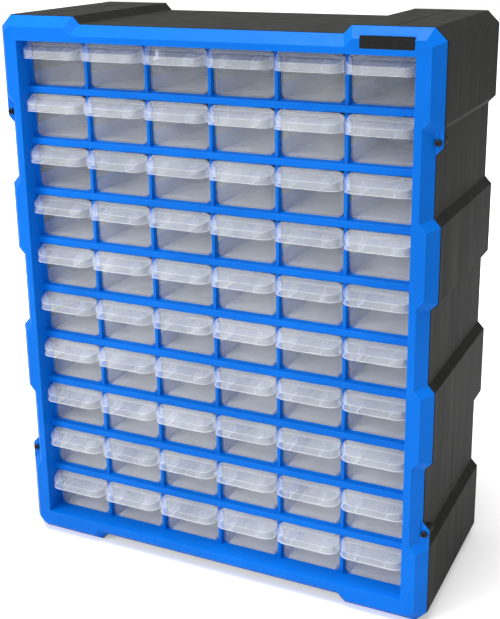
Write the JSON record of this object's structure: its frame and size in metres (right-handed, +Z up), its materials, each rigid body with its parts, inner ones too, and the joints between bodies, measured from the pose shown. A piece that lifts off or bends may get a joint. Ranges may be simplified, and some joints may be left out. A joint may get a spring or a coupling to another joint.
{
  "type": "parts bin cabinet",
  "caption": "Upright storage cabinet for small parts: a bevelled front frame with a grid of cells, a stepped rear shell and translucent pull-out drawers with hooded handles.",
  "frame": {"origin": "centre of the bottom of the cabinet's bounding box, on the surface that it stands on", "axes": "+X to the right seen from the front, +Y from the front frame to the back wall, +Z up"},
  "size_m": [0.38, 0.16, 0.475],
  "materials": {
    "blue_frame": "injection-moulded polypropylene, satin",
    "black_shell": "injection-moulded polypropylene, fine matt grain",
    "clear_drawer": "natural translucent polypropylene",
    "black_screw": "black oxide pan-head screw"
  },
  "bodies": {
    "cabinet": {"frame_border": "blue_frame", "drawer_grid": "blue_frame", "drawer_runners": "blue_frame", "rear_shell": "black_shell", "casing_screws": "black_screw"},
    "drawer_r01_c1": {"drawer_r01_c1": "clear_drawer"},
    "drawer_r01_c2": {"drawer_r01_c2": "clear_drawer"},
    "drawer_r01_c3": {"drawer_r01_c3": "clear_drawer"},
    "drawer_r01_c4": {"drawer_r01_c4": "clear_drawer"},
    "drawer_r01_c5": {"drawer_r01_c5": "clear_drawer"},
    "drawer_r01_c6": {"drawer_r01_c6": "clear_drawer"},
    "drawer_r02_c1": {"drawer_r02_c1": "clear_drawer"},
    "drawer_r02_c2": {"drawer_r02_c2": "clear_drawer"},
    "drawer_r02_c3": {"drawer_r02_c3": "clear_drawer"},
    "drawer_r02_c4": {"drawer_r02_c4": "clear_drawer"},
    "drawer_r02_c5": {"drawer_r02_c5": "clear_drawer"},
    "drawer_r02_c6": {"drawer_r02_c6": "clear_drawer"},
    "drawer_r03_c1": {"drawer_r03_c1": "clear_drawer"},
    "drawer_r03_c2": {"drawer_r03_c2": "clear_drawer"},
    "drawer_r03_c3": {"drawer_r03_c3": "clear_drawer"},
    "drawer_r03_c4": {"drawer_r03_c4": "clear_drawer"},
    "drawer_r03_c5": {"drawer_r03_c5": "clear_drawer"},
    "drawer_r03_c6": {"drawer_r03_c6": "clear_drawer"},
    "drawer_r04_c1": {"drawer_r04_c1": "clear_drawer"},
    "drawer_r04_c2": {"drawer_r04_c2": "clear_drawer"},
    "drawer_r04_c3": {"drawer_r04_c3": "clear_drawer"},
    "drawer_r04_c4": {"drawer_r04_c4": "clear_drawer"},
    "drawer_r04_c5": {"drawer_r04_c5": "clear_drawer"},
    "drawer_r04_c6": {"drawer_r04_c6": "clear_drawer"},
    "drawer_r05_c1": {"drawer_r05_c1": "clear_drawer"},
    "drawer_r05_c2": {"drawer_r05_c2": "clear_drawer"},
    "drawer_r05_c3": {"drawer_r05_c3": "clear_drawer"},
    "drawer_r05_c4": {"drawer_r05_c4": "clear_drawer"},
    "drawer_r05_c5": {"drawer_r05_c5": "clear_drawer"},
    "drawer_r05_c6": {"drawer_r05_c6": "clear_drawer"},
    "drawer_r06_c1": {"drawer_r06_c1": "clear_drawer"},
    "drawer_r06_c2": {"drawer_r06_c2": "clear_drawer"},
    "drawer_r06_c3": {"drawer_r06_c3": "clear_drawer"},
    "drawer_r06_c4": {"drawer_r06_c4": "clear_drawer"},
    "drawer_r06_c5": {"drawer_r06_c5": "clear_drawer"},
    "drawer_r06_c6": {"drawer_r06_c6": "clear_drawer"},
    "drawer_r07_c1": {"drawer_r07_c1": "clear_drawer"},
    "drawer_r07_c2": {"drawer_r07_c2": "clear_drawer"},
    "drawer_r07_c3": {"drawer_r07_c3": "clear_drawer"},
    "drawer_r07_c4": {"drawer_r07_c4": "clear_drawer"},
    "drawer_r07_c5": {"drawer_r07_c5": "clear_drawer"},
    "drawer_r07_c6": {"drawer_r07_c6": "clear_drawer"},
    "drawer_r08_c1": {"drawer_r08_c1": "clear_drawer"},
    "drawer_r08_c2": {"drawer_r08_c2": "clear_drawer"},
    "drawer_r08_c3": {"drawer_r08_c3": "clear_drawer"},
    "drawer_r08_c4": {"drawer_r08_c4": "clear_drawer"},
    "drawer_r08_c5": {"drawer_r08_c5": "clear_drawer"},
    "drawer_r08_c6": {"drawer_r08_c6": "clear_drawer"},
    "drawer_r09_c1": {"drawer_r09_c1": "clear_drawer"},
    "drawer_r09_c2": {"drawer_r09_c2": "clear_drawer"},
    "drawer_r09_c3": {"drawer_r09_c3": "clear_drawer"},
    "drawer_r09_c4": {"drawer_r09_c4": "clear_drawer"},
    "drawer_r09_c5": {"drawer_r09_c5": "clear_drawer"},
    "drawer_r09_c6": {"drawer_r09_c6": "clear_drawer"},
    "drawers_r10_shared": {"drawers_r10_shared": "clear_drawer"}
  },
  "joints": [
    {"name": "r01_c1_slide", "type": "slide", "parent": "cabinet", "child": "drawer_r01_c1", "axis": [0, -1, 0], "range_m": [0, 0.13]},
    {"name": "r01_c2_slide", "type": "slide", "parent": "cabinet", "child": "drawer_r01_c2", "axis": [0, -1, 0], "range_m": [0, 0.13]},
    {"name": "r01_c3_slide", "type": "slide", "parent": "cabinet", "child": "drawer_r01_c3", "axis": [0, -1, 0], "range_m": [0, 0.13]},
    {"name": "r01_c4_slide", "type": "slide", "parent": "cabinet", "child": "drawer_r01_c4", "axis": [0, -1, 0], "range_m": [0, 0.13]},
    {"name": "r01_c5_slide", "type": "slide", "parent": "cabinet", "child": "drawer_r01_c5", "axis": [0, -1, 0], "range_m": [0, 0.13]},
    {"name": "r01_c6_slide", "type": "slide", "parent": "cabinet", "child": "drawer_r01_c6", "axis": [0, -1, 0], "range_m": [0, 0.13]},
    {"name": "r02_c1_slide", "type": "slide", "parent": "cabinet", "child": "drawer_r02_c1", "axis": [0, -1, 0], "range_m": [0, 0.13]},
    {"name": "r02_c2_slide", "type": "slide", "parent": "cabinet", "child": "drawer_r02_c2", "axis": [0, -1, 0], "range_m": [0, 0.13]},
    {"name": "r02_c3_slide", "type": "slide", "parent": "cabinet", "child": "drawer_r02_c3", "axis": [0, -1, 0], "range_m": [0, 0.13]},
    {"name": "r02_c4_slide", "type": "slide", "parent": "cabinet", "child": "drawer_r02_c4", "axis": [0, -1, 0], "range_m": [0, 0.13]},
    {"name": "r02_c5_slide", "type": "slide", "parent": "cabinet", "child": "drawer_r02_c5", "axis": [0, -1, 0], "range_m": [0, 0.13]},
    {"name": "r02_c6_slide", "type": "slide", "parent": "cabinet", "child": "drawer_r02_c6", "axis": [0, -1, 0], "range_m": [0, 0.13]},
    {"name": "r03_c1_slide", "type": "slide", "parent": "cabinet", "child": "drawer_r03_c1", "axis": [0, -1, 0], "range_m": [0, 0.13]},
    {"name": "r03_c2_slide", "type": "slide", "parent": "cabinet", "child": "drawer_r03_c2", "axis": [0, -1, 0], "range_m": [0, 0.13]},
    {"name": "r03_c3_slide", "type": "slide", "parent": "cabinet", "child": "drawer_r03_c3", "axis": [0, -1, 0], "range_m": [0, 0.13]},
    {"name": "r03_c4_slide", "type": "slide", "parent": "cabinet", "child": "drawer_r03_c4", "axis": [0, -1, 0], "range_m": [0, 0.13]},
    {"name": "r03_c5_slide", "type": "slide", "parent": "cabinet", "child": "drawer_r03_c5", "axis": [0, -1, 0], "range_m": [0, 0.13]},
    {"name": "r03_c6_slide", "type": "slide", "parent": "cabinet", "child": "drawer_r03_c6", "axis": [0, -1, 0], "range_m": [0, 0.13]},
    {"name": "r04_c1_slide", "type": "slide", "parent": "cabinet", "child": "drawer_r04_c1", "axis": [0, -1, 0], "range_m": [0, 0.13]},
    {"name": "r04_c2_slide", "type": "slide", "parent": "cabinet", "child": "drawer_r04_c2", "axis": [0, -1, 0], "range_m": [0, 0.13]},
    {"name": "r04_c3_slide", "type": "slide", "parent": "cabinet", "child": "drawer_r04_c3", "axis": [0, -1, 0], "range_m": [0, 0.13]},
    {"name": "r04_c4_slide", "type": "slide", "parent": "cabinet", "child": "drawer_r04_c4", "axis": [0, -1, 0], "range_m": [0, 0.13]},
    {"name": "r04_c5_slide", "type": "slide", "parent": "cabinet", "child": "drawer_r04_c5", "axis": [0, -1, 0], "range_m": [0, 0.13]},
    {"name": "r04_c6_slide", "type": "slide", "parent": "cabinet", "child": "drawer_r04_c6", "axis": [0, -1, 0], "range_m": [0, 0.13]},
    {"name": "r05_c1_slide", "type": "slide", "parent": "cabinet", "child": "drawer_r05_c1", "axis": [0, -1, 0], "range_m": [0, 0.13]},
    {"name": "r05_c2_slide", "type": "slide", "parent": "cabinet", "child": "drawer_r05_c2", "axis": [0, -1, 0], "range_m": [0, 0.13]},
    {"name": "r05_c3_slide", "type": "slide", "parent": "cabinet", "child": "drawer_r05_c3", "axis": [0, -1, 0], "range_m": [0, 0.13]},
    {"name": "r05_c4_slide", "type": "slide", "parent": "cabinet", "child": "drawer_r05_c4", "axis": [0, -1, 0], "range_m": [0, 0.13]},
    {"name": "r05_c5_slide", "type": "slide", "parent": "cabinet", "child": "drawer_r05_c5", "axis": [0, -1, 0], "range_m": [0, 0.13]},
    {"name": "r05_c6_slide", "type": "slide", "parent": "cabinet", "child": "drawer_r05_c6", "axis": [0, -1, 0], "range_m": [0, 0.13]},
    {"name": "r06_c1_slide", "type": "slide", "parent": "cabinet", "child": "drawer_r06_c1", "axis": [0, -1, 0], "range_m": [0, 0.13]},
    {"name": "r06_c2_slide", "type": "slide", "parent": "cabinet", "child": "drawer_r06_c2", "axis": [0, -1, 0], "range_m": [0, 0.13]},
    {"name": "r06_c3_slide", "type": "slide", "parent": "cabinet", "child": "drawer_r06_c3", "axis": [0, -1, 0], "range_m": [0, 0.13]},
    {"name": "r06_c4_slide", "type": "slide", "parent": "cabinet", "child": "drawer_r06_c4", "axis": [0, -1, 0], "range_m": [0, 0.13]},
    {"name": "r06_c5_slide", "type": "slide", "parent": "cabinet", "child": "drawer_r06_c5", "axis": [0, -1, 0], "range_m": [0, 0.13]},
    {"name": "r06_c6_slide", "type": "slide", "parent": "cabinet", "child": "drawer_r06_c6", "axis": [0, -1, 0], "range_m": [0, 0.13]},
    {"name": "r07_c1_slide", "type": "slide", "parent": "cabinet", "child": "drawer_r07_c1", "axis": [0, -1, 0], "range_m": [0, 0.13]},
    {"name": "r07_c2_slide", "type": "slide", "parent": "cabinet", "child": "drawer_r07_c2", "axis": [0, -1, 0], "range_m": [0, 0.13]},
    {"name": "r07_c3_slide", "type": "slide", "parent": "cabinet", "child": "drawer_r07_c3", "axis": [0, -1, 0], "range_m": [0, 0.13]},
    {"name": "r07_c4_slide", "type": "slide", "parent": "cabinet", "child": "drawer_r07_c4", "axis": [0, -1, 0], "range_m": [0, 0.13]},
    {"name": "r07_c5_slide", "type": "slide", "parent": "cabinet", "child": "drawer_r07_c5", "axis": [0, -1, 0], "range_m": [0, 0.13]},
    {"name": "r07_c6_slide", "type": "slide", "parent": "cabinet", "child": "drawer_r07_c6", "axis": [0, -1, 0], "range_m": [0, 0.13]},
    {"name": "r08_c1_slide", "type": "slide", "parent": "cabinet", "child": "drawer_r08_c1", "axis": [0, -1, 0], "range_m": [0, 0.13]},
    {"name": "r08_c2_slide", "type": "slide", "parent": "cabinet", "child": "drawer_r08_c2", "axis": [0, -1, 0], "range_m": [0, 0.13]},
    {"name": "r08_c3_slide", "type": "slide", "parent": "cabinet", "child": "drawer_r08_c3", "axis": [0, -1, 0], "range_m": [0, 0.13]},
    {"name": "r08_c4_slide", "type": "slide", "parent": "cabinet", "child": "drawer_r08_c4", "axis": [0, -1, 0], "range_m": [0, 0.13]},
    {"name": "r08_c5_slide", "type": "slide", "parent": "cabinet", "child": "drawer_r08_c5", "axis": [0, -1, 0], "range_m": [0, 0.13]},
    {"name": "r08_c6_slide", "type": "slide", "parent": "cabinet", "child": "drawer_r08_c6", "axis": [0, -1, 0], "range_m": [0, 0.13]},
    {"name": "r09_c1_slide", "type": "slide", "parent": "cabinet", "child": "drawer_r09_c1", "axis": [0, -1, 0], "range_m": [0, 0.13]},
    {"name": "r09_c2_slide", "type": "slide", "parent": "cabinet", "child": "drawer_r09_c2", "axis": [0, -1, 0], "range_m": [0, 0.13]},
    {"name": "r09_c3_slide", "type": "slide", "parent": "cabinet", "child": "drawer_r09_c3", "axis": [0, -1, 0], "range_m": [0, 0.13]},
    {"name": "r09_c4_slide", "type": "slide", "parent": "cabinet", "child": "drawer_r09_c4", "axis": [0, -1, 0], "range_m": [0, 0.13]},
    {"name": "r09_c5_slide", "type": "slide", "parent": "cabinet", "child": "drawer_r09_c5", "axis": [0, -1, 0], "range_m": [0, 0.13]},
    {"name": "r09_c6_slide", "type": "slide", "parent": "cabinet", "child": "drawer_r09_c6", "axis": [0, -1, 0], "range_m": [0, 0.13]},
    {"name": "bottom_drawers_slide", "type": "slide", "parent": "cabinet", "child": "drawers_r10_shared", "axis": [0, -1, 0], "range_m": [0, 0.13]}
  ]
}
